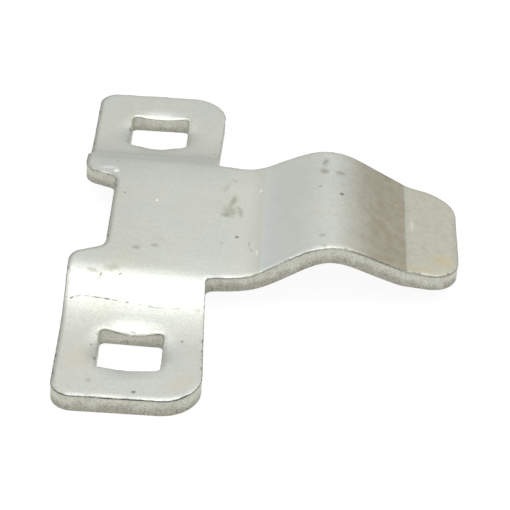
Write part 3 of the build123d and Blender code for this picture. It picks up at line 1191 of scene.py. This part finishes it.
def hang_curtain(look, sides=48):
    """An open grey ring that stands on the floor and shows only in reflections."""

    def surface(tree):
        glow = {"Color": look.curtain_colour, "Strength": 1.0}
        return add_node(tree, "ShaderNodeEmission", **glow)

    points = []
    for side in range(sides):
        turn = math.tau * side / sides
        x, y = look.curtain_radius * math.cos(turn), look.curtain_radius * math.sin(turn)
        points += [(x, y, 0.0), (x, y, look.curtain_height)]
    count = len(points)
    faces = [(k, (k + 2) % count, (k + 3) % count, k + 1) for k in range(0, count, 2)]
    mesh = bpy.data.meshes.new("grey_curtain")
    mesh.from_pydata(points, [], faces)
    mesh.materials.append(stage_material("grey_curtain", surface))
    curtain = add_object("grey_curtain", mesh)
    for ray in ("camera", "shadow", "diffuse"):
        setattr(curtain, "visible_" + ray, False)


def light_sky(look):
    """Even light from all round, on a background that is seen as white."""
    scene = bpy.context.scene
    scene.world = scene.world or bpy.data.worlds.new("World")
    scene.world.use_nodes = True
    tree = scene.world.node_tree
    tree.nodes.clear()
    strength = look.sky + direct_rays(tree) * (1.0 - look.sky)
    sky = add_node(tree, "ShaderNodeBackground", Color=WHITE, Strength=strength)
    out = tree.nodes.new("ShaderNodeOutputWorld")
    tree.links.new(sky.outputs[0], out.inputs["Surface"])
    arrange(tree)


def hang_softbox(look):
    """The one lamp, high up between the bracket and the camera."""
    lamp = bpy.data.lights.new("overhead_softbox", "AREA")
    lamp.shape = "RECTANGLE"
    lamp.size, lamp.size_y = SOFTBOX_SIDES
    lamp.energy = look.overhead
    lamp.color = look.lamp_colour
    softbox = add_object("overhead_softbox", lamp)
    softbox.location = SOFTBOX_PLACE
    aim = SOFTBOX_AIM - SOFTBOX_PLACE
    softbox.rotation_euler = aim.to_track_quat("-Z", "Y").to_euler()


def set_camera(look):
    """The camera, looking down along the row of holes."""
    lens = bpy.data.cameras.new("camera")
    lens.lens = look.lens
    lens.sensor_width = SENSOR_WIDTH
    lens.clip_start, lens.clip_end = CAMERA_REACH
    camera = add_object("camera", lens)
    turn = Matrix((CAMERA_RIGHT, -CAMERA_DOWN, -CAMERA_FORWARD)).transposed()
    camera.matrix_world = Matrix.LocRotScale(CAMERA_PLACE, turn.to_quaternion(), None)
    bpy.context.scene.camera = camera


# ---------------------------------------------------------------- operators

SHARP_FROM = math.radians(50)  # between two faces, for a hard edge


class BRACKET_OT_plate(bpy.types.Operator):
    """Cut the blank, press it into shape and give it its worn zinc finish"""

    bl_idname = "bracket.plate"
    bl_label = "Formed Plate"

    def execute(self, context):
        scene = context.scene
        sizes, forming = scene.bracket_blank, scene.bracket_forming
        finish = scene.bracket_finish
        values = {
            item.name: getattr(forming, key)
            for key, item in forming.bl_rna.properties.items()
            if item.type == "FLOAT"
        }
        values["Plate Thickness"] = sizes.plate
        values["Hole Offset"] = sizes.hole_spacing / 2
        values["Hole Half"] = sizes.hole_side / 2
        tree = build_forming_nodes(list(values))
        groups = {"grain": grain_group(), "pits": pit_group(), "mark": mark_group()}
        values["Face Material"] = plated_material(finish, groups)
        values["Cut Material"] = sheared_material(finish, groups)
        mesh = formed_plate(blank_mesh(sizes), tree, values)
        mesh.name = "formed_plate"
        mesh.set_sharp_from_angle(angle=SHARP_FROM)
        plate = add_object("formed_plate", mesh)
        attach(plate, BODY)
        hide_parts(CAD_NODE)
        print("formed plate:", len(mesh.vertices), "points", len(mesh.polygons), "faces")
        return {"FINISHED"}


class BRACKET_OT_stage(bpy.types.Operator):
    """Lay the floor, light the bracket and set the camera"""

    bl_idname = "bracket.stage"
    bl_label = "Stage"

    def execute(self, context):
        look = context.scene.bracket_stage
        for step in (lay_floor, light_sky, hang_softbox, hang_curtain, set_camera):
            step(look)
        context.scene.view_settings.view_transform = "Standard"
        return {"FINISHED"}


# ---------------------------------------------------------------- panel and start


class BRACKET_PT_panel(bpy.types.Panel):
    """Everything that makes the bracket"""

    bl_idname = "BRACKET_PT_panel"
    bl_label = "Stamped Metal Bracket"
    bl_space_type = "VIEW_3D"
    bl_region_type = "UI"
    bl_category = "Bracket"

    def draw(self, context):
        scene = context.scene
        layout = self.layout
        for title, settings in (
            ("Blank", scene.bracket_blank),
            ("Forming", scene.bracket_forming),
            ("Finish", scene.bracket_finish),
            ("Stage", scene.bracket_stage),
        ):
            box = layout.box()
            box.label(text=title)
            for key in settings.__annotations__:
                box.prop(settings, key)
        layout.operator(BRACKET_OT_plate.bl_idname)
        layout.operator(BRACKET_OT_stage.bl_idname)


SETTINGS = {
    "bracket_blank": BracketBlankSizes,
    "bracket_forming": BracketFormingSizes,
    "bracket_finish": BracketFinish,
    "bracket_stage": BracketStageLook,
}
PARTS = (BRACKET_OT_plate, BRACKET_OT_stage, BRACKET_PT_panel)


def register():
    for part in (*SETTINGS.values(), *PARTS):
        bpy.utils.register_class(part)
    for name, group in SETTINGS.items():
        setattr(bpy.types.Scene, name, PointerProperty(type=group))


def unregister():
    for name in SETTINGS:
        delattr(bpy.types.Scene, name)
    for part in (*PARTS[::-1], *list(SETTINGS.values())[::-1]):
        bpy.utils.unregister_class(part)


def main():
    register()
    bpy.ops.bracket.plate()
    bpy.ops.bracket.stage()


if __name__ == "__main__":
    main()
